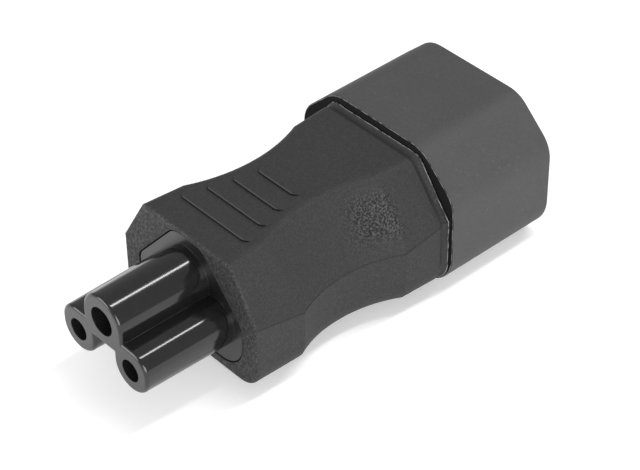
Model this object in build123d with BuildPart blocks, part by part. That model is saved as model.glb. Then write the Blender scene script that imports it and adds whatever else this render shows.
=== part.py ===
from build123d import *
import os

# Rigid moulded power adapter: a three-pin shrouded inlet at one end and a
# cloverleaf socket nose at the other, joined by a waisted grip.
# X runs along the adapter from the nose tip to the mouth of the inlet, Y runs
# across it and Z is up, with the underside of the inlet shroud at z = 0.

# Lengths along X
nose_length = 13.2
grip_length = 31.05
groove_width = 0.25
shell_length = 17.5

# Inlet shroud, outside
shell_width = 28.0
shell_height = 20.0
shell_chamfer_across = 5.95
shell_chamfer_down = 5.55
shell_corner_radius = 5.6
shell_edge_radius = 4.6
shell_rear_round = 0.12
mouth_round = 0.2

# Inlet shroud, inside
cavity_wall = 1.75
cavity_corner_radius = 3.5
cavity_edge_radius = 2.0
cavity_depth = 16.5
cavity_lead_in = 0.4

# Neck of the shroud that the grip is moulded around
neck_half = 11.2
neck_underside = 2.8
neck_crease = 9.0
neck_top = 17.2
neck_top_half = 6.0
neck_length = 4.25
neck_corner_radius = 2.5

# Blades of the inlet
blade_thickness = 2.0
blade_height = 4.0
blade_tip_chamfer = 0.6
blade_reach = 12.6
earth_blade_reach = 14.4
blade_pitch = 14.0
blade_row_drop = 2.0
earth_blade_rise = 2.0
blade_slot_clearance = 0.05
shoulder_thickness = 1.0
shoulder_margin = 0.6
shoulder_clearance = 0.1
crimp_diameter = 2.6
crimp_length = 4.6
crimp_clearance = 0.1
pin_retainer_thickness = 1.4

# Grip: flat top, sloping shoulders and upright sides. Each section is given by
# its half width, the height of its side crease and the half width of its top
grip_underside = 1.1
grip_front_underside = 1.45
grip_top = 18.9
grip_front_half = 12.6
grip_front_crease = 11.55
grip_front_top_half = 8.25
grip_middle_half = 12.6
grip_middle_crease = 8.4
grip_middle_top_half = 6.95
grip_rear_half = 13.38
grip_rear_crease = 11.48
grip_rear_top_half = 7.85
grip_corner_radius = 3.5
grip_soft_edge = 1.6
grip_front_round = 0.35
waist_middle = 15.45
waist_half = 10.75
waist_crease = 10.0
waist_top_half = 5.7
waist_radius = 17.6
cove_length = 1.6
cove_depth = 0.36
cove_valley = 0.625
cove_lead = 0.03
cove_sections = 8
lip_width = 0.06

# Thumb ribs on the grip: raised wedges whose square end faces the nose and
# whose top falls back to the surface
rib_count = 4
rib_first = 4.05
rib_pitch = 3.36
rib_first_half = 6.35
rib_step_half = 0.89
rib_rise = 0.28
rib_run = 2.2
rib_thickness = 0.8
rib_corner_radius = 1.0
rib_edge_round = 0.08

# Cloverleaf nose
nose_pitch = 10.0
nose_row_height = 8.45
nose_earth_height = 12.95
lobe_radius = 3.1
lobe_bottom_flat = 0.003
lobe_top = 11.6
lobe_shoulder_radius = 2.6
earth_lobe_radius = 3.65
web_underside = 9.4
nose_draft = 0.8
nose_tip_round = 0.45
entry_diameter = 3.05
earth_entry_diameter = 3.95
entry_depth = 2.6

# Flange and collar of the nose
flange_half = 9.65
flange_underside = 2.95
flange_crease = 10.1
flange_top = 18.05
flange_top_half = 2.6
flange_side_radius = 2.2
flange_top_radius = 2.4
flange_lower_radius = 4.0
flange_thickness = 2.4
flange_sink = 0.1
flange_clearance = 0.16
collar_half = 8.5
collar_underside = 4.2
collar_crease = 9.6
collar_top = 16.9
collar_top_half = 3.0
collar_length = 2.6
collar_corner_radius = 2.0
contact_retainer_thickness = 1.2

# Socket contacts
contact_wall = 0.5
contact_bore = 2.4
earth_contact_bore = 3.2
contact_slot = 0.5
contact_slot_length = 6.5
contact_seat_gap = 0.2
contact_cavity_clearance = 0.12
contact_tip_round = 0.15
contact_web = 1.0
contact_tail_length = 4.0

# Leads inside the grip
core_diameter = 1.3
insulation_diameter = 2.3
core_clearance = 0.05
lead_clearance = 0.1
core_bite = 2.6
lead_straight = 3.2
lead_bend_radius = 5.0

# Inner moulding that carries the leads
inner_half = 8.9
inner_underside = 3.2
inner_crease = 9.0
inner_top = 17.1
inner_top_half = 4.4
inner_corner_radius = 2.0

# Reach of a cutter beyond what it cuts, shortest of the long edges, and how
# closely a place or a direction has to match when edges and vertices are picked
cutter_reach = 1.0
long_edge = 2.0
near_enough = 0.01

# Share of a wall's thickness that its sloping shoulder moves in by
shoulder_share = 0.4

# Stations along X
total_length = nose_length + grip_length + groove_width + shell_length
nose_tip_x = -total_length / 2
grip_front_x = nose_tip_x + nose_length
grip_rear_x = grip_front_x + grip_length
shell_rear_x = grip_rear_x + groove_width
mouth_x = shell_rear_x + shell_length
cavity_floor_x = mouth_x - cavity_depth
neck_rear_x = grip_rear_x - neck_length
pin_retainer_x = neck_rear_x - pin_retainer_thickness
flange_front_x = grip_front_x + flange_sink
flange_rear_x = flange_front_x + flange_thickness
collar_rear_x = flange_rear_x + collar_length
contact_retainer_x = collar_rear_x + contact_retainer_thickness
waist_x = grip_front_x + waist_middle
cove_start_x = grip_rear_x - lip_width - cove_length
lip_x = grip_rear_x - lip_width
contact_front_x = nose_tip_x + entry_depth + contact_seat_gap
contact_tail_x = contact_retainer_x + contact_tail_length
crimp_end_x = pin_retainer_x - crimp_length + pin_retainer_thickness

# Heights
shell_centre_z = shell_height / 2
row_z = shell_centre_z - blade_row_drop
earth_z = shell_centre_z + earth_blade_rise


def across(x):
    """Plane square to the length at x, whose own axes lie along Y and Z."""
    return Plane(origin=(x, 0, 0), x_dir=(0, 1, 0), z_dir=(1, 0, 0))


def hood(x, half, underside, crease, top, top_half, corner=0.0, soft_edge=0.0, soft_crease=0.0):
    """Section with a flat top, sloping shoulders and rounded lower corners."""
    with BuildSketch(across(x)) as face:
        with BuildLine():
            Polyline(
                (-half, underside),
                (half, underside),
                (half, crease),
                (top_half, top),
                (-top_half, top),
                (-half, crease),
                close=True,
            )
        make_face()
        if corner > 0:
            fillet(face.vertices().group_by(Axis.Y)[0], corner)
        if soft_edge > 0:
            fillet(face.vertices().group_by(Axis.Y)[-1], soft_edge)
        if soft_crease > 0:
            fillet(face.vertices().filter_by(lambda v: abs(v.Y - crease) < near_enough), soft_crease)
    return face.sketch


def cove_section(x, inset):
    """Section of the rear of the grip, drawn in by inset all round."""
    return hood(
        x,
        grip_rear_half - inset,
        grip_underside + inset,
        grip_rear_crease,
        grip_top - inset,
        grip_rear_top_half - inset / 2,
        grip_corner_radius,
        grip_soft_edge,
    )


def cove_inset(share):
    """Depth of the cove at a share of its length: it eases down to its valley
    and then sweeps up to the lip."""
    if share < cove_valley:
        down = share / cove_valley
        sunk = down**2 * (3 - 2 * down)
    else:
        sunk = 1 - ((share - cove_valley) / (1 - cove_valley)) ** 2
    return (cove_depth + cove_lead) * sunk - cove_lead


def shell_section(x, inset, corner, edge):
    """Section of the inlet shroud, drawn in by inset all round."""
    half = shell_width / 2 - inset
    return hood(
        x,
        half,
        inset,
        shell_height - shell_chamfer_down - inset * shoulder_share,
        shell_height - inset,
        shell_width / 2 - shell_chamfer_across - inset * shoulder_share,
        corner,
        edge,
        edge,
    )


def flange_face(x, margin):
    """Six-sided flange of the nose, grown by margin."""
    with BuildSketch(across(x)) as face:
        with BuildLine():
            Polyline(
                (-flange_half, flange_underside),
                (flange_half, flange_underside),
                (flange_half, flange_crease),
                (flange_top_half, flange_top),
                (-flange_top_half, flange_top),
                (-flange_half, flange_crease),
                close=True,
            )
        make_face()
        fillet(face.vertices().group_by(Axis.Y)[0], flange_lower_radius)
        fillet(face.vertices().group_by(Axis.Y)[-1], flange_top_radius)
        fillet(face.vertices().group_by(Axis.X)[0].group_by(Axis.Y)[-1], flange_side_radius)
        fillet(face.vertices().group_by(Axis.X)[-1].group_by(Axis.Y)[-1], flange_side_radius)
        if margin > 0:
            offset(amount=margin)
    return face.sketch


def collar_face(x):
    """Section of the collar behind the flange."""
    return hood(
        x,
        collar_half,
        collar_underside,
        collar_crease,
        collar_top,
        collar_top_half,
        collar_corner_radius,
    )


def inner_face(x):
    """Section of the inner moulding."""
    return hood(
        x,
        inner_half,
        inner_underside,
        inner_crease,
        inner_top,
        inner_top_half,
        inner_corner_radius,
    )


def neck_face(x):
    """Section of the neck that joins the shroud to the grip."""
    return hood(
        x,
        neck_half,
        neck_underside,
        neck_crease,
        neck_top,
        neck_top_half,
        neck_corner_radius,
    )


# The three ways: name, place at the nose (y, z), place at the inlet (y, z)
ways = {
    "line": ((-nose_pitch / 2, nose_row_height), (-blade_pitch / 2, row_z)),
    "neutral": ((nose_pitch / 2, nose_row_height), (blade_pitch / 2, row_z)),
    "earth": ((0, nose_earth_height), (0, earth_z)),
}


def contact_size(way):
    """Entry diameter and contact bore of one way."""
    if way == "earth":
        return earth_entry_diameter, earth_contact_bore
    return entry_diameter, contact_bore


def lead_path(way, end_trim):
    """Route of one lead from its contact to its blade, shortened at both ends."""
    (y0, z0), (y1, z1) = ways[way]
    start = contact_tail_x - end_trim
    finish = crimp_end_x + end_trim
    with BuildLine() as path:
        if abs(y1 - y0) + abs(z1 - z0) < near_enough:
            Line((start, y0, z0), (finish, y1, z1))
        else:
            FilletPolyline(
                (start, y0, z0),
                (contact_tail_x + lead_straight, y0, z0),
                (crimp_end_x - lead_straight, y1, z1),
                (finish, y1, z1),
                radius=lead_bend_radius,
            )
    return path.line


# Outer grip: overmoulding with a long concave waist on each side, a shallow
# cove and a thin lip at the rear
front_section = hood(
    grip_front_x,
    grip_front_half,
    grip_front_underside,
    grip_front_crease,
    grip_top,
    grip_front_top_half,
)
middle_section = hood(
    waist_x, grip_middle_half, grip_underside, grip_middle_crease, grip_top, grip_middle_top_half
)
rear_section = hood(
    grip_rear_x, grip_rear_half, grip_underside, grip_rear_crease, grip_top, grip_rear_top_half
)
shoulder_slope = (waist_half - waist_top_half) / (grip_top - waist_crease)
cutter_top = grip_top + cutter_reach
cutter_top_half = waist_half - shoulder_slope * (cutter_top - waist_crease)
cutter_outside = grip_rear_half + cutter_reach

# Ring that cuts the cove ahead of the lip
with BuildPart() as cove_ring:
    with BuildSketch(across(cove_start_x)):
        with Locations((0, (grip_underside + grip_top) / 2)):
            Rectangle(
                2 * (grip_rear_half + cutter_reach),
                grip_top - grip_underside + 2 * cutter_reach,
            )
    extrude(amount=cove_length)
    cove_steps = [i / cove_sections for i in range(cove_sections + 1)]
    loft(
        [
            cove_section(cove_start_x + share * cove_length, cove_inset(share))
            for share in cove_steps
        ],
        ruled=True,
        mode=Mode.SUBTRACT,
    )

# Thumb ribs
ribs = []
for i in range(rib_count):
    rib_plane = Plane(
        origin=(grip_front_x + rib_first + i * rib_pitch, 0, grip_top + rib_rise),
        x_dir=(rib_run, 0, -rib_rise),
        z_dir=(rib_rise, 0, rib_run),
    )
    with BuildPart() as rib:
        with BuildSketch(rib_plane):
            with Locations((rib_run / 2, 0)):
                RectangleRounded(rib_run, 2 * (rib_first_half - i * rib_step_half), rib_corner_radius)
        extrude(amount=-rib_thickness)
        fillet(rib.faces().sort_by(Axis.Z)[-1].edges(), rib_edge_round)
    ribs.append(rib)

with BuildPart() as outer_grip:
    loft([front_section, middle_section, rear_section], ruled=True)
    # The waist is turned about an upright axis beside the grip
    for side in (-1, 1):
        with BuildSketch(across(waist_x)):
            with BuildLine():
                Polyline(
                    (side * waist_half, -cutter_reach),
                    (side * waist_half, waist_crease),
                    (side * cutter_top_half, cutter_top),
                    (side * cutter_outside, cutter_top),
                    (side * cutter_outside, -cutter_reach),
                    close=True,
                )
            make_face()
        revolve(
            axis=Axis((waist_x, side * (waist_half + waist_radius), 0), (0, 0, 1)),
            mode=Mode.SUBTRACT,
        )
    top_edges = outer_grip.edges().filter_by(
        lambda e: e.bounding_box().min.Z > grip_top - near_enough and e.bounding_box().size.X > long_edge
    )
    fillet(top_edges, grip_soft_edge)
    lower_edges = outer_grip.edges().filter_by(
        lambda e: e.bounding_box().max.Z < grip_front_underside + near_enough
        and e.bounding_box().size.X > long_edge
    )
    fillet(lower_edges, grip_corner_radius)
    fillet(outer_grip.faces().sort_by(Axis.X)[0].outer_wire().edges(), grip_front_round)
    add(cove_ring.part, mode=Mode.SUBTRACT)
    add([rib.part for rib in ribs])
    # Seat of the nose flange, pocket of its collar, space of the inner
    # moulding and seat of the shroud neck
    extrude(
        flange_face(grip_front_x, flange_clearance),
        amount=flange_rear_x - grip_front_x,
        mode=Mode.SUBTRACT,
    )
    extrude(collar_face(flange_rear_x), amount=contact_retainer_x - flange_rear_x, mode=Mode.SUBTRACT)
    extrude(inner_face(contact_retainer_x), amount=pin_retainer_x - contact_retainer_x, mode=Mode.SUBTRACT)
    extrude(neck_face(pin_retainer_x), amount=grip_rear_x - pin_retainer_x, mode=Mode.SUBTRACT)
outer_grip.part.label = "outer_grip"

# Inlet shroud with its neck, blade slots and shoulder recesses
with BuildPart() as inlet_shell:
    extrude(shell_section(shell_rear_x, 0, shell_corner_radius, shell_edge_radius), amount=shell_length)
    fillet(inlet_shell.faces().sort_by(Axis.X)[0].outer_wire().edges(), shell_rear_round)
    fillet(inlet_shell.faces().sort_by(Axis.X)[-1].outer_wire().edges(), mouth_round)
    extrude(neck_face(neck_rear_x), amount=shell_rear_x - neck_rear_x)
    extrude(
        shell_section(cavity_floor_x, cavity_wall, cavity_corner_radius, cavity_edge_radius),
        amount=cavity_depth,
        mode=Mode.SUBTRACT,
    )
    chamfer(inlet_shell.faces().sort_by(Axis.X)[-1].inner_wires().edges(), cavity_lead_in)
    with BuildSketch(across(neck_rear_x)):
        for (y, z) in [ways[w][1] for w in ways]:
            with Locations((y, z)):
                Rectangle(
                    blade_thickness + 2 * blade_slot_clearance,
                    blade_height + 2 * blade_slot_clearance,
                )
    extrude(amount=cavity_floor_x - neck_rear_x, mode=Mode.SUBTRACT)
    with BuildSketch(across(neck_rear_x)):
        for (y, z) in [ways[w][1] for w in ways]:
            with Locations((y, z)):
                Rectangle(
                    blade_thickness + 2 * (shoulder_margin + shoulder_clearance),
                    blade_height + 2 * (shoulder_margin + shoulder_clearance),
                )
    extrude(amount=shoulder_thickness, mode=Mode.SUBTRACT)
inlet_shell.part.label = "inlet_shell"

# Plate behind the neck that keeps the blade shoulders seated
with BuildPart() as pin_retainer:
    extrude(neck_face(pin_retainer_x), amount=pin_retainer_thickness)
    with BuildSketch(across(pin_retainer_x)):
        for (y, z) in [ways[w][1] for w in ways]:
            with Locations((y, z)):
                Circle(crimp_diameter / 2 + crimp_clearance)
    extrude(amount=pin_retainer_thickness, mode=Mode.SUBTRACT)
pin_retainer.part.label = "pin_retainer"

# Blades with chamfered tips, shoulders and crimp barrels
pins = {}
for way in ways:
    y, z = ways[way][1]
    reach = earth_blade_reach if way == "earth" else blade_reach
    with BuildPart() as pin:
        with BuildSketch(across(neck_rear_x)):
            with Locations((y, z)):
                Rectangle(blade_thickness, blade_height)
        extrude(amount=cavity_floor_x + reach - neck_rear_x)
        chamfer(pin.faces().sort_by(Axis.X)[-1].edges(), blade_tip_chamfer)
        with BuildSketch(across(neck_rear_x)):
            with Locations((y, z)):
                Rectangle(blade_thickness + 2 * shoulder_margin, blade_height + 2 * shoulder_margin)
        extrude(amount=shoulder_thickness)
        with BuildSketch(across(crimp_end_x)):
            with Locations((y, z)):
                Circle(crimp_diameter / 2)
        extrude(amount=neck_rear_x - crimp_end_x)
        with BuildSketch(across(crimp_end_x)):
            with Locations((y, z)):
                Circle(core_diameter / 2 + core_clearance)
        extrude(amount=core_bite + core_clearance, mode=Mode.SUBTRACT)
    pin.part.label = "pin_" + way
    pins[way] = pin.part

# Cloverleaf nose: two lobes and a raised earth lobe joined by a web, standing
# on a flange with a collar behind it
lobe_height = lobe_top - (nose_row_height - lobe_radius)
with BuildPart() as connector_nose:
    with BuildSketch(across(nose_tip_x)) as clover:
        for side in (-1, 1):
            with Locations((side * nose_pitch / 2, lobe_top - lobe_height / 2)):
                Rectangle(2 * lobe_radius, lobe_height)
        fillet(clover.vertices().group_by(Axis.Y)[0], lobe_radius - lobe_bottom_flat)
        fillet(clover.vertices().group_by(Axis.X)[0].group_by(Axis.Y)[-1], lobe_shoulder_radius)
        fillet(clover.vertices().group_by(Axis.X)[-1].group_by(Axis.Y)[-1], lobe_shoulder_radius)
        with Locations((0, (web_underside + lobe_top) / 2)):
            Rectangle(nose_pitch, lobe_top - web_underside)
        with Locations((0, (web_underside + nose_earth_height) / 2)):
            Rectangle(2 * earth_lobe_radius, nose_earth_height - web_underside)
        with Locations((0, nose_earth_height)):
            Circle(earth_lobe_radius)
        with Locations((0, (nose_row_height + web_underside) / 2 - lobe_radius)):
            Rectangle(
                nose_pitch - 2 * lobe_radius,
                web_underside - nose_row_height + 2 * lobe_radius,
                mode=Mode.SUBTRACT,
            )
    extrude(amount=flange_front_x - nose_tip_x, taper=-nose_draft)
    fillet(connector_nose.faces().sort_by(Axis.X)[0].outer_wire().edges(), nose_tip_round)
    extrude(flange_face(flange_front_x, 0), amount=flange_thickness)
    extrude(collar_face(flange_rear_x), amount=collar_length)
    for way in ways:
        y, z = ways[way][0]
        entry, bore = contact_size(way)
        with BuildSketch(across(nose_tip_x)):
            with Locations((y, z)):
                Circle(entry / 2)
        extrude(amount=entry_depth, mode=Mode.SUBTRACT)
        with BuildSketch(across(nose_tip_x + entry_depth)):
            with Locations((y, z)):
                Circle(bore / 2 + contact_wall + contact_cavity_clearance)
        extrude(amount=collar_rear_x - nose_tip_x - entry_depth, mode=Mode.SUBTRACT)
connector_nose.part.label = "connector_nose"

# Plate that closes the collar behind the contacts
with BuildPart() as contact_retainer:
    extrude(collar_face(collar_rear_x), amount=contact_retainer_thickness)
    with BuildSketch(across(collar_rear_x)):
        for (y, z) in [ways[w][0] for w in ways]:
            with Locations((y, z)):
                Circle(crimp_diameter / 2 + crimp_clearance)
    extrude(amount=contact_retainer_thickness, mode=Mode.SUBTRACT)
contact_retainer.part.label = "contact_retainer"

# Socket contacts: slotted sleeves with a solid web and a crimp barrel
contacts = {}
for way in ways:
    y, z = ways[way][0]
    entry, bore = contact_size(way)
    outer_radius = bore / 2 + contact_wall
    with BuildPart() as contact:
        with BuildSketch(across(contact_front_x)):
            with Locations((y, z)):
                Circle(outer_radius)
        extrude(amount=collar_rear_x - contact_front_x)
        fillet(contact.faces().sort_by(Axis.X)[0].edges(), contact_tip_round)
        with BuildSketch(across(contact_front_x)):
            with Locations((y, z)):
                Circle(bore / 2)
        extrude(amount=collar_rear_x - contact_front_x - contact_web, mode=Mode.SUBTRACT)
        with BuildSketch(across(contact_front_x)):
            with Locations((y, z)):
                Rectangle(2 * outer_radius + 1, contact_slot)
                Rectangle(contact_slot, 2 * outer_radius + 1)
        extrude(amount=contact_slot_length, mode=Mode.SUBTRACT)
        with BuildSketch(across(collar_rear_x)):
            with Locations((y, z)):
                Circle(crimp_diameter / 2)
        extrude(amount=contact_tail_x - collar_rear_x)
        with BuildSketch(across(contact_tail_x - core_bite - core_clearance)):
            with Locations((y, z)):
                Circle(core_diameter / 2 + core_clearance)
        extrude(amount=core_bite + core_clearance, mode=Mode.SUBTRACT)
    contact.part.label = "contact_" + way
    contacts[way] = contact.part

# Leads: a copper core that bites into both crimp barrels, and its insulation
cores = {}
insulations = {}
for way in ways:
    y, z = ways[way][0]
    core_route = lead_path(way, core_bite)
    with BuildPart() as core:
        with BuildSketch(across(contact_tail_x - core_bite)):
            with Locations((y, z)):
                Circle(core_diameter / 2)
        sweep(path=core_route)
    core.part.label = "core_" + way
    cores[way] = core.part
    lead_route = lead_path(way, 0)
    with BuildPart() as insulation:
        with BuildSketch(across(contact_tail_x)):
            with Locations((y, z)):
                Circle(insulation_diameter / 2)
                Circle(core_diameter / 2 + core_clearance, mode=Mode.SUBTRACT)
        sweep(path=lead_route)
    insulation.part.label = "insulation_" + way
    insulations[way] = insulation.part

# Inner moulding between the two retainers, with a channel for each lead
with BuildPart() as inner_mould:
    extrude(inner_face(contact_retainer_x), amount=pin_retainer_x - contact_retainer_x)
    for way in ways:
        (y0, z0), (y1, z1) = ways[way]
        with BuildSketch(across(contact_retainer_x)):
            with Locations((y0, z0)):
                Circle(crimp_diameter / 2 + crimp_clearance)
        extrude(amount=contact_tail_x - contact_retainer_x, mode=Mode.SUBTRACT)
        with BuildSketch(across(crimp_end_x)):
            with Locations((y1, z1)):
                Circle(crimp_diameter / 2 + crimp_clearance)
        extrude(amount=pin_retainer_x - crimp_end_x, mode=Mode.SUBTRACT)
        channel_route = lead_path(way, 0)
        with BuildSketch(across(contact_tail_x)):
            with Locations((y0, z0)):
                Circle(insulation_diameter / 2 + lead_clearance)
        sweep(path=channel_route, mode=Mode.SUBTRACT)
inner_mould.part.label = "inner_mould"

os.makedirs("parts", exist_ok=True)
export_step(outer_grip.part, "parts/outer_grip.step")
export_step(inlet_shell.part, "parts/inlet_shell.step")
export_step(pin_retainer.part, "parts/pin_retainer.step")
export_step(connector_nose.part, "parts/connector_nose.step")
export_step(contact_retainer.part, "parts/contact_retainer.step")
export_step(inner_mould.part, "parts/inner_mould.step")
for way in ways:
    export_step(pins[way], f"parts/pin_{way}.step")
    export_step(contacts[way], f"parts/contact_{way}.step")
    export_step(cores[way], f"parts/core_{way}.step")
    export_step(insulations[way], f"parts/insulation_{way}.step")
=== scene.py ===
import logging
import math
from dataclasses import dataclass, field
from enum import Enum
from typing import Any, Callable, Mapping

import bmesh
import bpy
from mathutils import Matrix, Vector


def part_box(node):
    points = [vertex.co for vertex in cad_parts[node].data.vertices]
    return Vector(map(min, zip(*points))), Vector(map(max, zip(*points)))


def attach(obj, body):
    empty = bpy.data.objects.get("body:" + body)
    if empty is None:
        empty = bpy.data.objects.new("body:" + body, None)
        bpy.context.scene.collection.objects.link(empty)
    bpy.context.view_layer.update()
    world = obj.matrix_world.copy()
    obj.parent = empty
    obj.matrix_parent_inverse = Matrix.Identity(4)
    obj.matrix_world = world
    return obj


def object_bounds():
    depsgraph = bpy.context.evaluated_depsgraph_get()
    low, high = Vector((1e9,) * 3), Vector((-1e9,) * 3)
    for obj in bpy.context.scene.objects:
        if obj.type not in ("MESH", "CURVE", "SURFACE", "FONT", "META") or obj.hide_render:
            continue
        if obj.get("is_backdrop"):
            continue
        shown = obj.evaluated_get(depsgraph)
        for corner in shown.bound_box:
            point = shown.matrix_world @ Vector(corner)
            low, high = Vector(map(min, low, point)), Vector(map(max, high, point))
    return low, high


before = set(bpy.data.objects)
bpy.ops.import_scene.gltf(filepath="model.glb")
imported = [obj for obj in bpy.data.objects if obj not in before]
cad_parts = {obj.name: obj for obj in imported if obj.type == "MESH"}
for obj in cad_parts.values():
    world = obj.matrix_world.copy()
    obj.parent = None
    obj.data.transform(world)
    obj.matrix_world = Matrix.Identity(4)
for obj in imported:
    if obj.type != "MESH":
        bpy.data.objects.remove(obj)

# Power adapter: finishes, fine moulded trim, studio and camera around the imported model.
# Lengths are in metres, in the frame of the solids: X from the nose tip to the mouth of the
# inlet, Y across and Z up.

MM = 0.001
MERGE = 0.002 * MM
NEAR_ENOUGH = 0.01 * MM

log = logging.getLogger("power_adapter")


class Way(Enum):
    """The three ways of the adapter, with the colour of each lead's insulation."""

    LINE = ("line", (0.115, 0.042, 0.018))
    NEUTRAL = ("neutral", (0.018, 0.075, 0.30))
    EARTH = ("earth", (0.10, 0.27, 0.028))

    @property
    def label(self) -> str:
        """Name of the way as it ends the names of its nodes."""
        return self.value[0]

    @property
    def tint(self) -> tuple[float, float, float]:
        """Colour of the lead's insulation."""
        return self.value[1]


class Side(Enum):
    """The two sides of the adapter, as the sign of Y."""

    NEAR = -1
    FAR = 1


@dataclass(frozen=True)
class Signal:
    """A number or a vector that varies over a surface: one output socket of a material's nodes."""

    board: "Board"
    socket: bpy.types.NodeSocket

    def __add__(self, other: "Signal | float") -> "Signal":
        """This plus other."""
        return self.board.maths("ADD", self, other)

    def __radd__(self, other: float) -> "Signal":
        """Other plus this."""
        return self.board.maths("ADD", other, self)

    def __sub__(self, other: "Signal | float") -> "Signal":
        """This less other."""
        return self.board.maths("SUBTRACT", self, other)

    def __rsub__(self, other: float) -> "Signal":
        """Other less this."""
        return self.board.maths("SUBTRACT", other, self)

    def __mul__(self, other: "Signal | float") -> "Signal":
        """This times other."""
        return self.board.maths("MULTIPLY", self, other)

    def __rmul__(self, other: float) -> "Signal":
        """Other times this."""
        return self.board.maths("MULTIPLY", other, self)

    def __truediv__(self, other: "Signal | float") -> "Signal":
        """This over other."""
        return self.board.maths("DIVIDE", self, other)

    def above(self, edge: float, blur: float) -> "Signal":
        """How far this lies above an edge.

        Args:
            edge: Value at the middle of the change.
            blur: Width of the change.

        Returns:
            A signal that goes smoothly from 0 below the edge to 1 above it.
        """
        made = self.board.node(
            "ShaderNodeMapRange",
            {"interpolation_type": "SMOOTHSTEP"},
            {"Value": self, "From Min": edge - blur / 2, "From Max": edge + blur / 2},
        )
        return Signal(self.board, made.outputs["Result"])

    def below(self, edge: float, blur: float) -> "Signal":
        """The reverse of above: 1 below the edge and 0 above it."""
        return 1.0 - self.above(edge, blur)


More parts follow.
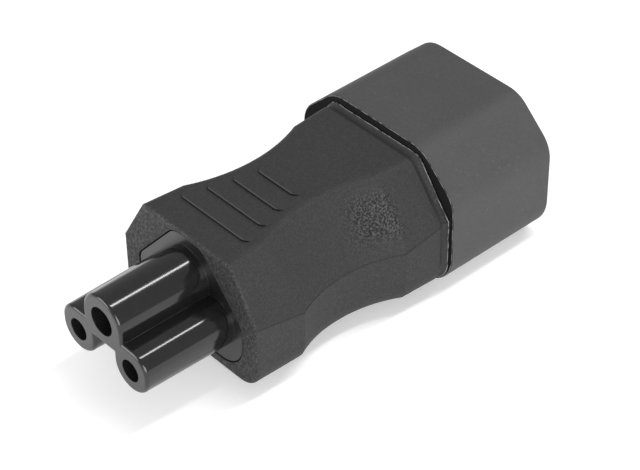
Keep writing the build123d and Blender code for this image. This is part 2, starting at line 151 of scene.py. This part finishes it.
class Board:
    """The node board of one material, with helpers that add its nodes."""

    def __init__(self, name: str) -> None:
        """Starts an empty board.

        Args:
            name: Name of the material.
        """
        self.material = bpy.data.materials.new(name)
        self.material.use_nodes = True
        self.tree = self.material.node_tree
        self.tree.nodes.clear()

    def node(
        self,
        kind: str,
        settings: Mapping[str, Any] | None = None,
        sockets: Mapping[str, Any] | None = None,
    ) -> bpy.types.Node:
        """Adds a node of any kind.

        Args:
            kind: Type of the node.
            settings: Properties of the node, set first.
            sockets: Values or signals of its inputs, by name or number.

        Returns:
            The new node.
        """
        made = self.tree.nodes.new(kind)
        for key, value in (settings or {}).items():
            setattr(made, key, value)
        for key, value in (sockets or {}).items():
            self.feed(made.inputs[key], value)
        return made

    def feed(self, target: bpy.types.NodeSocket, value: Any) -> None:
        """Links a signal to a socket, or sets the socket to a value.

        Args:
            target: Input socket.
            value: Signal, number, vector or colour.
        """
        if isinstance(value, Signal):
            self.tree.links.new(value.socket, target)
        elif target.type == "RGBA" and len(value) == 3:
            target.default_value = (*value, 1.0)
        else:
            target.default_value = value

    def maths(self, operation: str, first: Any, second: Any) -> Signal:
        """Adds a Math node.

        Args:
            operation: What it does.
            first: First signal or number.
            second: Second signal or number.

        Returns:
            Its result.
        """
        made = self.node("ShaderNodeMath", {"operation": operation}, {0: first, 1: second})
        return Signal(self, made.outputs[0])

    def place(self) -> Signal:
        """Place of a point in the frame of the solids."""
        return Signal(self, self.node("ShaderNodeTexCoord").outputs["Object"])

    def axes(self) -> tuple[Signal, Signal, Signal]:
        """Place of a point along X, Y and Z, in millimetres."""
        parts = self.node("ShaderNodeSeparateXYZ", None, {"Vector": self.place()})
        return tuple(Signal(self, parts.outputs[i]) / MM for i in range(3))

    def facing(self) -> tuple[Signal, Signal, Signal]:
        """Direction that the surface faces, along X, Y and Z."""
        facet = Signal(self, self.node("ShaderNodeNewGeometry").outputs["True Normal"])
        parts = self.node("ShaderNodeSeparateXYZ", None, {"Vector": facet})
        return tuple(Signal(self, parts.outputs[i]) for i in range(3))

    def noise(self, size: float, detail: float = 2.0, roughness: float = 0.5) -> Signal:
        """Cloudy variation.

        Args:
            size: Size of one cloud in millimetres.
            detail: Number of finer layers.
            roughness: Strength of the finer layers.

        Returns:
            A signal around one half.
        """
        sockets = {"Scale": 1 / (size * MM), "Detail": detail, "Roughness": roughness}
        made = self.node("ShaderNodeTexNoise", None, {"Vector": self.place(), **sockets})
        return Signal(self, made.outputs["Fac"])

    def cells(self, size: float) -> Signal:
        """Distance to the nearest of scattered points, with a cell's size in millimetres."""
        made = self.node(
            "ShaderNodeTexVoronoi",
            None,
            {"Vector": self.place(), "Scale": 1 / (size * MM)},
        )
        return Signal(self, made.outputs["Distance"])

    def blend(self, share: Signal | float, first: Any, second: Any) -> Signal:
        """Mixes two colours.

        Args:
            share: 0 gives the first colour and 1 the second.
            first: First colour.
            second: Second colour.

        Returns:
            The mixed colour.
        """
        made = self.node("ShaderNodeMix", {"data_type": "RGBA"})
        self.feed(made.inputs[0], share)
        self.feed(made.inputs[6], first)
        self.feed(made.inputs[7], second)
        return Signal(self, made.outputs[2])

    def rounding(self, radius: float, samples: int = 4) -> Signal:
        """Normal that makes edges look rounded, with a radius in millimetres."""
        made = self.node("ShaderNodeBevel", {"samples": samples}, {"Radius": radius * MM})
        return Signal(self, made.outputs["Normal"])

    def join_normals(self, share: Signal, first: Signal, second: Signal) -> Signal:
        """Mixes two normals.

        Args:
            share: 0 gives the first normal and 1 the second.
            first: First normal.
            second: Second normal.

        Returns:
            The mixed normal.
        """
        made = self.node("ShaderNodeMix", {"data_type": "VECTOR"})
        self.feed(made.inputs[0], share)
        self.feed(made.inputs[4], first)
        self.feed(made.inputs[5], second)
        return Signal(self, made.outputs[1])

    def relief(self, height: Signal, depth: float, edges: "Signal | float" = 0.0) -> Signal:
        """Bump from a height, on edges that are seen a little rounded.

        Args:
            height: Height signal from 0 to 1.
            depth: Height of 1 in millimetres.
            edges: Normal to build on, or the radius of the rounded edges in millimetres.

        Returns:
            The normal.
        """
        sockets: dict[str, Any] = {"Height": height, "Distance": depth * MM, "Strength": 1.0}
        if isinstance(edges, Signal):
            sockets["Normal"] = edges
        elif edges > 0:
            sockets["Normal"] = self.rounding(edges)
        return Signal(self, self.node("ShaderNodeBump", None, sockets).outputs["Normal"])

    def finish(self, **sockets: Any) -> bpy.types.Material:
        """Ends the board in one shader.

        Args:
            **sockets: Inputs of the shader, with _ for a space in a name.

        Returns:
            The finished material.
        """
        named = {key.replace("_", " "): value for key, value in sockets.items()}
        shader = self.node("ShaderNodeBsdfPrincipled", None, named)
        output = self.node("ShaderNodeOutputMaterial")
        self.tree.links.new(shader.outputs[0], output.inputs[0])
        return self.material


@dataclass(frozen=True)
class GrainedSkin:
    """Soft black overmoulding with a spark-eroded grain, coarser on its front and shoulders, with
    painted shade on its ribs' walls and a painted highlight along their upper edges.

    Attributes:
        front_x: Place of the front face along X, in metres.
        crease_z: Height between the sides and the shoulders, in metres.
        top_z: Height of the top that the ribs stand on, in metres.
        rib_rise: Height of the ribs in millimetres.
        wall: Colour of the painted shade on the ribs' upright walls.
        edge: Colour of the painted highlight on the ribs' upper edges.
        grain_size: Size of the grain in millimetres.
        pit_size: Size of the pits in millimetres.
        depth: Depth of the grain in millimetres.
        patch_along: Ends along X of the rubbed patch on a rear shoulder, in millimetres.
        patch_up: Heights of its ends above the crease, in millimetres.
        edge_radius: Rounding of the edges in millimetres.
        crease_radius: Rounding of the crease in millimetres.
        crease_reach: How far it reaches above and below the crease, in millimetres.
    """

    front_x: float
    crease_z: float
    top_z: float
    rib_rise: float
    name: str = "grained_skin"
    dark: tuple[float, float, float] = (0.004, 0.004, 0.0042)
    light: tuple[float, float, float] = (0.056, 0.056, 0.057)
    wall: tuple[float, float, float] = (0.001, 0.001, 0.001)
    edge: tuple[float, float, float] = (0.055, 0.055, 0.056)
    grain_size: float = 0.26
    pit_size: float = 0.34
    depth: float = 0.045
    patch_along: tuple[float, float] = (1.6, 7.2)
    patch_up: tuple[float, float] = (1.6, 6.2)
    edge_radius: float = 0.12
    crease_radius: float = 0.75
    crease_reach: float = 3.0

    def make(self) -> bpy.types.Material:
        """Builds the material."""
        board = Board(self.name)
        along, _, up = board.axes()
        face = self.front_x / MM
        crease = self.crease_z / MM
        top = self.top_z / MM
        grain = board.noise(self.grain_size, 3.0, 0.6)
        pits = board.cells(self.pit_size)
        cloud = board.noise(7.0)
        forward = 0.0 - board.facing()[0]
        front = along.below(face + 0.3, 0.3) * forward.above(0.6, 0.3)
        start, end = self.patch_along
        low, high = self.patch_up
        shoulder = up.above(crease + low, 2.6) * up.below(crease + high, 2.4)
        rubbed = along.above(start, 5.0) * along.below(end, 1.4) * shoulder
        grit = 0.2 + 0.5 * front + 1.1 * rubbed
        fleck = grain.above(0.52, 0.30) * 0.85 + pits.above(0.45, 0.6) * 0.15
        shade = 0.42 + (fleck - 0.5) * grit + (cloud - 0.5) * 0.08
        skin = board.blend(shade, self.dark, self.light)
        proud = up.above(top + 0.03, 0.03)
        # Painted highlight along the ribs' upper edges and painted shade on their upright walls,
        # laid over the grained colour.
        edge = up.above(top + self.rib_rise - 0.018, 0.02)
        wall = forward.above(0.3, 0.3) * proud
        ribs_painted_shade_and_highlight = board.blend(edge, board.blend(wall, skin, self.wall), self.edge)
        height = (grain * 0.6 + pits * 0.4) * (0.3 + grit)
        reach = self.crease_reach
        near_crease = up.above(crease - reach, 1.0) * up.below(crease + reach, 1.0)
        inboard = along.above(face + 0.8, 0.8)
        sharp = board.rounding(self.edge_radius)
        soft = board.rounding(self.crease_radius, 8)
        edges = board.join_normals(near_crease * inboard, sharp, soft)
        return board.finish(
            Base_Color=ribs_painted_shade_and_highlight,
            Roughness=0.66 - 0.25 * grit * grain.above(0.55, 0.2) + 0.06 * cloud + 0.3 * wall,
            Specular_IOR_Level=0.32,
            Normal=board.relief(height, self.depth, edges),
        )


@dataclass(frozen=True)
class FlashWithPaintedHighlight:
    """Thin edge of plastic that stands proud, with patches of painted highlight along it."""

    name: str
    dark: tuple[float, float, float] = (0.020, 0.020, 0.0205)
    light: tuple[float, float, float] = (0.19, 0.19, 0.192)

    def make(self) -> bpy.types.Material:
        """Builds the material."""
        board = Board(self.name)
        # Patches of painted highlight along the edge, where it catches the light.
        rubbed = board.noise(0.9, 2.0).above(0.48, 0.24)
        return board.finish(
            Base_Color=board.blend(rubbed, self.dark, self.light),
            Roughness=0.5 - 0.1 * rubbed,
            Normal=board.relief(board.noise(0.2), 0.01),
        )


@dataclass(frozen=True)
class SatinShell:
    """Hard satin plastic with faint grain and a few lighter specks, with painted shade on its rear
    face.

    Attributes:
        rear_x: Place of the shroud's rear face along X, in metres.
        speck: Colour of the specks.
        rear: Colour of the painted shade on the rear face and on what lies in front of it.
        grain_size: Size of the grain in millimetres.
        speck_size: Distance between the specks in millimetres.
        depth: Depth of the grain in millimetres.
        edge_radius: Rounding of the edges in millimetres.
    """

    rear_x: float
    name: str = "satin_shell"
    dark: tuple[float, float, float] = (0.046, 0.046, 0.0465)
    light: tuple[float, float, float] = (0.066, 0.066, 0.067)
    speck: tuple[float, float, float] = (0.16, 0.16, 0.16)
    rear: tuple[float, float, float] = (0.002, 0.002, 0.002)
    grain_size: float = 0.30
    speck_size: float = 1.3
    depth: float = 0.010
    edge_radius: float = 0.10

    def make(self) -> bpy.types.Material:
        """Builds the material."""
        board = Board(self.name)
        grain = board.noise(self.grain_size, 3.0, 0.6)
        cloud = board.noise(9.0)
        specks = board.cells(self.speck_size).below(0.09, 0.05)
        shade = board.blend(cloud * 0.5 + grain.above(0.5, 0.4) * 0.5, self.dark, self.light)
        dusted = board.blend(specks * 0.22, shade, self.speck)
        # Painted shade over the shroud's rear face and what lies in front of it, where the grip
        # keeps the light off.
        rear = board.axes()[0].below(self.rear_x / MM + 0.04, 0.06)
        return board.finish(
            Base_Color=board.blend(rear, dusted, self.rear),
            Roughness=0.60 + 0.35 * rear + 0.05 * grain + 0.05 * cloud,
            Specular_IOR_Level=0.32,
            Normal=board.relief(grain, self.depth, self.edge_radius),
        )


@dataclass(frozen=True)
class GlossNose:
    """Hard black plastic: polished along the nose, satin on its tip and on its flange.

    Attributes:
        tip_x: Place of the tip along X, in metres.
        flange_x: Place of the flange's face along X, in metres.
    """

    tip_x: float
    flange_x: float
    name: str = "gloss_nose"
    body: tuple[float, float, float] = (0.0085, 0.0085, 0.009)
    worn: tuple[float, float, float] = (0.016, 0.016, 0.0165)

    def make(self) -> bpy.types.Material:
        """Builds the material."""
        board = Board(self.name)
        along = board.axes()[0]
        tip = along.below(self.tip_x / MM + 0.12, 0.2)
        flange = along.above(self.flange_x / MM - 0.06, 0.1)
        satin = tip * 0.3 + flange
        grain = board.noise(0.20, 3.0, 0.6)
        ripple = board.noise(2.6, 1.0)
        rub = board.noise(1.1, 4.0, 0.65).above(0.62, 0.12) * 0.5
        return board.finish(
            Base_Color=board.blend(rub, self.body, self.worn),
            Roughness=0.10 + 0.16 * satin + 0.07 * rub + 0.05 * grain,
            Specular_IOR_Level=0.55,
            Normal=board.relief(grain * satin * 0.5 + ripple * 0.6, 0.006, 0.08),
        )


@dataclass(frozen=True)
class PlainMoulding:
    """Unseen inner plastic with a plain moulded surface."""

    name: str
    shade: tuple[float, float, float]

    def make(self) -> bpy.types.Material:
        """Builds the material."""
        board = Board(self.name)
        cloud = board.noise(3.0)
        lighter = tuple(1.5 * c for c in self.shade)
        return board.finish(
            Base_Color=board.blend(cloud, self.shade, lighter),
            Roughness=0.45 + 0.15 * cloud,
            Normal=board.relief(board.noise(0.3), 0.004),
        )


@dataclass(frozen=True)
class PlatedMetal:
    """Pressed or drawn metal with fine marks along X and faint stains.

    Attributes:
        bright: Colour of the clean metal.
        dull: Colour of the stains.
        mark_scale: Number of marks in a metre along X, Y and Z.
    """

    name: str
    bright: tuple[float, float, float]
    dull: tuple[float, float, float]
    roughness: float = 0.24
    mark_scale: tuple[float, float, float] = (120.0, 4200.0, 4200.0)

    def make(self) -> bpy.types.Material:
        """Builds the material."""
        board = Board(self.name)
        spread = {"Vector": board.place(), "Scale": self.mark_scale}
        stretched = Signal(board, board.node("ShaderNodeMapping", None, spread).outputs[0])
        marks = {"Vector": stretched, "Scale": 1.0, "Detail": 3.0}
        drawn = Signal(board, board.node("ShaderNodeTexNoise", None, marks).outputs["Fac"])
        stain = board.noise(1.8, 3.0, 0.6)
        return board.finish(
            Base_Color=board.blend(stain * 0.6 + drawn * 0.4, self.bright, self.dull),
            Metallic=1.0,
            Roughness=self.roughness + 0.12 * drawn + 0.10 * stain,
            Normal=board.relief(drawn, 0.002, 0.05),
        )


@dataclass(frozen=True)
class Insulation:
    """Extruded insulation of one lead."""

    way: Way

    def make(self) -> bpy.types.Material:
        """Builds the material."""
        board = Board("insulation_" + self.way.label)
        haze = board.noise(1.5)
        paler = tuple(min(1.0, 1.35 * c + 0.01) for c in self.way.tint)
        return board.finish(
            Base_Color=board.blend(haze, self.way.tint, paler),
            Roughness=0.38 + 0.12 * haze,
            Normal=board.relief(board.noise(0.25), 0.003),
        )


@dataclass(frozen=True)
class PaleFloor:
    """Matt white table top, lit a little from inside.

    Attributes:
        glow: Strength of its own light.
    """

    glow: float = 0.3
    dark: tuple[float, float, float] = (0.80, 0.80, 0.80)
    light: tuple[float, float, float] = (0.84, 0.84, 0.84)

    def make(self) -> bpy.types.Material:
        """Builds the material."""
        board = Board("pale_floor")
        cloud = board.noise(60.0)
        return board.finish(
            Base_Color=board.blend(cloud, self.dark, self.light),
            Roughness=0.85,
            Emission_Color=(1.0, 1.0, 1.0),
            Emission_Strength=self.glow,
        )


def dress(node: str, material: bpy.types.Material) -> None:
    """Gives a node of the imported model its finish.

    Args:
        node: Name of the node.
        material: Finish for every slot of the node.
    """
    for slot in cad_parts[node].material_slots:
        slot.material = material


def deselect() -> None:
    """Leaves object mode with nothing selected."""
    if bpy.context.object is not None and bpy.context.object.mode != "OBJECT":
        bpy.ops.object.mode_set(mode="OBJECT")
    bpy.ops.object.select_all(action="DESELECT")


def activate(thing: bpy.types.Object) -> None:
    """Selects one object alone and makes it the active one.

    Args:
        thing: Object to work on.
    """
    deselect()
    thing.select_set(True)
    bpy.context.view_layer.objects.active = thing


EdgeTest = Callable[[bmesh.types.BMEdge], bool]


def bead_along(
    node: str, name: str, radius: float, wanted: EdgeTest, cuts: int = 0, ragged: float = 0.0
) -> bpy.types.Object:
    """Models a fine round bead that follows chosen edges of a node.

    Args:
        node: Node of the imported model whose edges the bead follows.
        name: Name of the new piece.
        radius: Radius of the bead in metres.
        wanted: Says whether the bead follows an edge.
        cuts: Number of points to add on each edge.
        ragged: How far its points stray in metres.

    Returns:
        The bead, as a mesh whose object stands at the origin.
    """
    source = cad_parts[node]
    copy = bpy.data.objects.new(name, source.data.copy())
    bpy.context.scene.collection.objects.link(copy)
    activate(copy)
    bpy.ops.object.mode_set(mode="EDIT")
    bpy.ops.mesh.select_mode(type="EDGE")
    bpy.ops.mesh.select_all(action="SELECT")
    bpy.ops.mesh.remove_doubles(threshold=MERGE)
    bpy.ops.mesh.select_all(action="DESELECT")
    shape = bmesh.from_edit_mesh(copy.data)
    shape.normal_update()
    for edge in shape.edges:
        edge.select_set(len(edge.link_faces) == 2 and wanted(edge))
    bmesh.update_edit_mesh(copy.data)
    bpy.ops.mesh.select_all(action="INVERT")
    bpy.ops.mesh.delete(type="EDGE_FACE")
    bpy.ops.mesh.select_all(action="SELECT")
    bpy.ops.mesh.delete_loose(use_verts=True, use_edges=False, use_faces=False)
    if cuts > 0:
        bpy.ops.mesh.select_all(action="SELECT")
        bpy.ops.mesh.subdivide(number_cuts=cuts)
    if ragged > 0:
        bpy.ops.mesh.select_all(action="SELECT")
        bpy.ops.transform.vertex_random(offset=ragged, seed=7)
    bpy.ops.object.mode_set(mode="OBJECT")
    bpy.ops.object.convert(target="CURVE")
    copy.data.bevel_depth = radius
    copy.data.bevel_resolution = 2
    copy.data.use_fill_caps = True
    bpy.ops.object.convert(target="MESH")
    copy.data.materials.clear()
    bpy.ops.object.shade_smooth()
    return copy


@dataclass
class Grip:
    """Waisted overmoulding with its mould line along both creases and flash on its lip.

    Attributes:
        crease_low: Lowest place that the crease reaches.
        crease_high: Highest place that the crease reaches.
        least_half: Least distance of the crease from the middle plane.
        axis_z: Height of the grip's middle.
        rib_rise: Height of the ribs.
        line_radius: Radius of the mould line.
        flash_radius: Radius of the flash.
        flash_cuts: Number of points added on each edge of the lip.
        flash_stray: How far these points stray.
        upright: Largest rise of the normal of a side wall.
        sloping: Least rise of the normal of a shoulder.
        outward: Least share of the normals across the grip at the crease.
        endward: Least share along X of the normal of the rear end.
        sideward: Largest share along X of the normal of the lip's side.
    """

    crease_low: float = 9.5 * MM
    crease_high: float = 12.0 * MM
    least_half: float = 9.5 * MM
    axis_z: float = 10.0 * MM
    rib_rise: float = 0.28 * MM
    line_radius: float = 0.03 * MM
    flash_radius: float = 0.07 * MM
    flash_cuts: int = 12
    flash_stray: float = 0.06 * MM
    upright: float = 0.06
    sloping: float = 0.25
    outward: float = 0.2
    endward: float = 0.99
    sideward: float = 0.9

    def follows_crease(self, side: Side) -> EdgeTest:
        """Test for the edges where a side wall meets a shoulder.

        Args:
            side: Side of the adapter.

        Returns:
            The test.
        """

        def test(edge: bmesh.types.BMEdge) -> bool:
            """Whether the edge is part of the crease."""
            ends = [vert.co for vert in edge.verts]
            if any(not self.crease_low < p.z < self.crease_high for p in ends):
                return False
            if any(p.y * side.value < self.least_half for p in ends):
                return False
            if any(face.normal.y * side.value <= self.outward for face in edge.link_faces):
                return False
            wall, shoulder = sorted(face.normal.z for face in edge.link_faces)
            return abs(wall) < self.upright and shoulder > self.sloping

        return test

    def follows_lip(self, rear: float) -> EdgeTest:
        """Test for the outer edges of the grip's rear end.

        Args:
            rear: Place of the rear end along X, in metres.

        Returns:
            The test.
        """

        def test(edge: bmesh.types.BMEdge) -> bool:
            """Whether the edge is part of the lip."""
            if any(vert.co.x < rear - NEAR_ENOUGH for vert in edge.verts):
                return False
            side, end = sorted(edge.link_faces, key=lambda face: face.normal.x)
            middle = (edge.verts[0].co + edge.verts[1].co) / 2 - Vector((0, 0, self.axis_z))
            outer = side.normal.y * middle.y + side.normal.z * middle.z > 0
            return end.normal.x > self.endward and side.normal.x < self.sideward and outer

        return test

    def build(self) -> list[bpy.types.Object]:
        """Builds and dresses the grip.

        Returns:
            The new pieces.
        """
        low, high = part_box("outer_grip")
        crease = (self.crease_low + self.crease_high) / 2
        skin = GrainedSkin(low.x, crease, high.z - self.rib_rise, self.rib_rise / MM)
        finish = skin.make()
        dress("outer_grip", finish)
        flash = bead_along(
            "outer_grip",
            "lip_flash",
            self.flash_radius,
            self.follows_lip(high.x),
            self.flash_cuts,
            self.flash_stray,
        )
        flash.data.materials.append(FlashWithPaintedHighlight("lip_flash").make())
        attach(flash, "root")
        lines = [flash]
        for side in Side:
            name = "mould_line_" + side.name.lower()
            line = bead_along("outer_grip", name, self.line_radius, self.follows_crease(side))
            line.data.materials.append(finish)
            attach(line, "root")
            lines.append(line)
        return lines


@dataclass
class Inlet:
    """Shrouded inlet: hard shell, retainer plates and three plated blades.

    Attributes:
        rim_radius: Radius of the fine edge around the shroud's rear face.
        rim_cuts: Number of points added on each of its edges.
        rim_stray: How far these points stray.
        shroud_length: Length of the shroud, from its mouth to its rear face.
        flat: Least share along X of the normal of the rear face.
        turned: Least share along X of the normal of the round beside it.
    """

    rim_radius: float = 0.06 * MM
    rim_cuts: int = 8
    rim_stray: float = 0.02 * MM
    shroud_length: float = 17.5 * MM
    flat: float = 0.9999
    turned: float = 0.3
    rear_x: float = field(init=False)
    blade: PlatedMetal = PlatedMetal("nickel_plate", (0.72, 0.70, 0.66), (0.55, 0.53, 0.49))
    plate: PlainMoulding = PlainMoulding("retainer_plastic", (0.03, 0.03, 0.032))

    def __post_init__(self) -> None:
        """Finds the rear face of the shroud, just behind the grip."""
        self.rear_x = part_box("inlet_shell")[1].x - self.shroud_length

    def follows_rim(self, edge: bmesh.types.BMEdge) -> bool:
        """Whether an edge is part of the outer edge of the shroud's rear face."""
        if any(abs(vert.co.x - self.rear_x) > NEAR_ENOUGH for vert in edge.verts):
            return False
        face, bend = sorted(other.normal.x for other in edge.link_faces)
        return face < -self.flat and -self.flat < bend < -self.turned

    def build(self) -> list[bpy.types.Object]:
        """Builds and dresses the inlet.

        Returns:
            The new pieces.
        """
        dress("inlet_shell", SatinShell(self.rear_x).make())
        rim = bead_along(
            "inlet_shell",
            "shroud_rim",
            self.rim_radius,
            self.follows_rim,
            self.rim_cuts,
            self.rim_stray,
        )
        # The shroud's rim bead carries a dimmer painted highlight.
        rim.data.materials.append(FlashWithPaintedHighlight("rim_edge", light=(0.14, 0.14, 0.142)).make())
        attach(rim, "root")
        plate = self.plate.make()
        dress("pin_retainer", plate)
        dress("contact_retainer", plate)
        metal = self.blade.make()
        for way in Way:
            dress("pin_" + way.label, metal)
        return [rim]


@dataclass
class Nose:
    """Cloverleaf nose with its flange and the socket contacts inside it."""

    contact: PlatedMetal = PlatedMetal("spring_brass", (0.62, 0.45, 0.20), (0.42, 0.29, 0.12), 0.3)

    def build(self) -> list[bpy.types.Object]:
        """Dresses the nose.

        Returns:
            The new pieces, of which it has none.
        """
        tip_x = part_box("connector_nose")[0].x
        flange_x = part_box("outer_grip")[0].x
        dress("connector_nose", GlossNose(tip_x, flange_x).make())
        metal = self.contact.make()
        for way in Way:
            dress("contact_" + way.label, metal)
        return []


@dataclass
class Leads:
    """Leads between the blades and the contacts, and the moulding that carries them."""

    core: PlatedMetal = PlatedMetal("drawn_copper", (0.78, 0.36, 0.20), (0.52, 0.22, 0.12), 0.3)
    carrier: PlainMoulding = PlainMoulding("inner_plastic", (0.022, 0.022, 0.023))

    def build(self) -> list[bpy.types.Object]:
        """Dresses the leads and the inner moulding.

        Returns:
            The new pieces, of which it has none.
        """
        dress("inner_mould", self.carrier.make())
        copper = self.core.make()
        for way in Way:
            dress("core_" + way.label, copper)
            dress("insulation_" + way.label, Insulation(way).make())
        return []


@dataclass
class Softbox:
    """A rectangular area light.

    Attributes:
        name: Name of the light.
        toward: Direction from the adapter to the light.
        distance: Distance from the adapter.
        width: Size along the light's own X.
        height: Size along the light's own Y.
        radiance: Brightness of its face.
    """

    name: str
    toward: Vector
    distance: float
    width: float
    height: float
    radiance: float

    def build(self, aim: Vector) -> bpy.types.Object:
        """Hangs the light.

        Args:
            aim: Point that the light faces.

        Returns:
            The light.
        """
        lamp = bpy.data.lights.new(self.name, "AREA")
        lamp.shape = "RECTANGLE"
        lamp.size = self.width
        lamp.size_y = self.height
        lamp.energy = self.radiance * math.pi * self.width * self.height
        hung = bpy.data.objects.new(self.name, lamp)
        bpy.context.scene.collection.objects.link(hung)
        ahead = self.toward.normalized()
        hung.location = aim + ahead * self.distance
        across = Vector((0, 1, 0)) - ahead * ahead.y
        across.normalize()
        along = ahead.cross(across)
        hung.matrix_world = Matrix.Translation(hung.location) @ Matrix(
            (across, along, ahead)
        ).transposed().to_4x4()
        return hung


@dataclass
class Studio:
    """Table top, lights around it and a grey room.

    Attributes:
        floor_half: Radius of the table top.
        floor_depth: Thickness of the table top.
        floor_round: Rounding of its rim.
        floor_gap: Distance from the adapter down to the table top.
        room: Brightness of the room.
    """

    floor_half: float = 1.6
    floor_depth: float = 0.03
    floor_round: float = 0.004
    floor_gap: float = 0.05 * MM
    room: float = 0.50
    floor: PaleFloor = field(default_factory=PaleFloor)
    lights: tuple[Softbox, ...] = (
        Softbox("strip_light", Vector((0.44, -0.18, 0.88)), 0.9, 0.085, 0.9, 19.0),
        Softbox("near_card", Vector((-0.45, -0.85, 0.25)), 0.8, 0.6, 0.5, 5.8),
        Softbox("left_card", Vector((-0.85, 0.45, 0.25)), 0.9, 0.6, 0.6, 4.8),
    )

    def build(self) -> None:
        """Lays the floor, hangs the lights and paints the room."""
        deselect()
        bpy.ops.mesh.primitive_circle_add(vertices=96, radius=self.floor_half, fill_type="NGON")
        table = bpy.context.object
        table.name = "table_top"
        bpy.ops.object.mode_set(mode="EDIT")
        bpy.ops.mesh.select_all(action="SELECT")
        bpy.ops.mesh.extrude_region_move(TRANSFORM_OT_translate={"value": (0, 0, self.floor_depth)})
        bpy.ops.mesh.bevel(offset=self.floor_round, segments=3, affect="EDGES")
        bpy.ops.mesh.select_all(action="SELECT")
        bpy.ops.mesh.normals_make_consistent(inside=False)
        bpy.ops.object.mode_set(mode="OBJECT")
        table.data.materials.append(self.floor.make())
        table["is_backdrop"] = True
        low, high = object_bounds()
        drop = low.z - self.floor_depth - self.floor_gap
        table.data.transform(Matrix.Translation((0, 0, drop)))
        middle = (low + high) / 2
        for light in self.lights:
            light.build(middle)
        world = bpy.data.worlds.new("grey_room")
        world.use_nodes = True
        backdrop = world.node_tree.nodes["Background"]
        backdrop.inputs["Color"].default_value = (1.0, 1.0, 1.0, 1.0)
        backdrop.inputs["Strength"].default_value = self.room
        bpy.context.scene.world = world
        bpy.context.scene.view_settings.view_transform = "Standard"


@dataclass
class Viewpoint:
    """Camera at the photograph's viewing angle, solved from its printed sizes.

    Attributes:
        place: Place of the camera in metres.
        heading: Direction of view over the floor from +X, in degrees.
        dip: Angle of the view below the horizon, in degrees.
        roll: Turn about the line of sight, in degrees.
        focal_pixels: Focal length in pixels of the photograph.
        centre: Principal point away from the image's middle, in pixels.
        frame_pixels: Width of the photograph.
    """

    place: Vector = field(default_factory=lambda: Vector((-0.141833, -0.164208, 0.187902)))
    heading: float = 48.512
    dip: float = 39.52
    roll: float = -0.875
    focal_pixels: float = 2230.133
    centre: tuple[float, float] = (-1.344, -1.126)
    frame_pixels: int = 640
    sensor: float = 36.0

    def build(self) -> bpy.types.Object:
        """Sets up the camera.

        Returns:
            The camera.
        """
        turn, down, lean = (math.radians(a) for a in (self.heading, self.dip, self.roll))
        forward = Vector(
            (math.cos(turn) * math.cos(down), math.sin(turn) * math.cos(down), -math.sin(down))
        )
        level = Vector((math.sin(turn), -math.cos(turn), 0))
        upward = level.cross(forward)
        right = level * math.cos(lean) + upward * math.sin(lean)
        above = upward * math.cos(lean) - level * math.sin(lean)
        lens = bpy.data.cameras.new("viewpoint")
        lens.sensor_width = self.sensor
        lens.lens = self.focal_pixels / self.frame_pixels * self.sensor
        lens.shift_x = -self.centre[0] / self.frame_pixels
        lens.shift_y = self.centre[1] / self.frame_pixels
        lens.clip_start = 0.01
        lens.clip_end = 20.0
        camera = bpy.data.objects.new("viewpoint", lens)
        bpy.context.scene.collection.objects.link(camera)
        camera.matrix_world = Matrix.Translation(self.place) @ Matrix(
            (right, above, -forward)
        ).transposed().to_4x4()
        bpy.context.scene.camera = camera
        return camera


def main() -> None:
    """Builds the adapter's looks and the studio."""
    logging.basicConfig(level=logging.INFO, format="%(message)s")
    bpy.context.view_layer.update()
    for assembly in (Nose(), Grip(), Inlet(), Leads()):
        pieces = assembly.build()
        log.info("%s: %d new pieces", type(assembly).__name__, len(pieces))
        for piece in pieces:
            log.info("  %s, %d faces", piece.name, len(piece.data.polygons))
    Viewpoint().build()
    Studio().build()


if __name__ == "__main__":
    main()
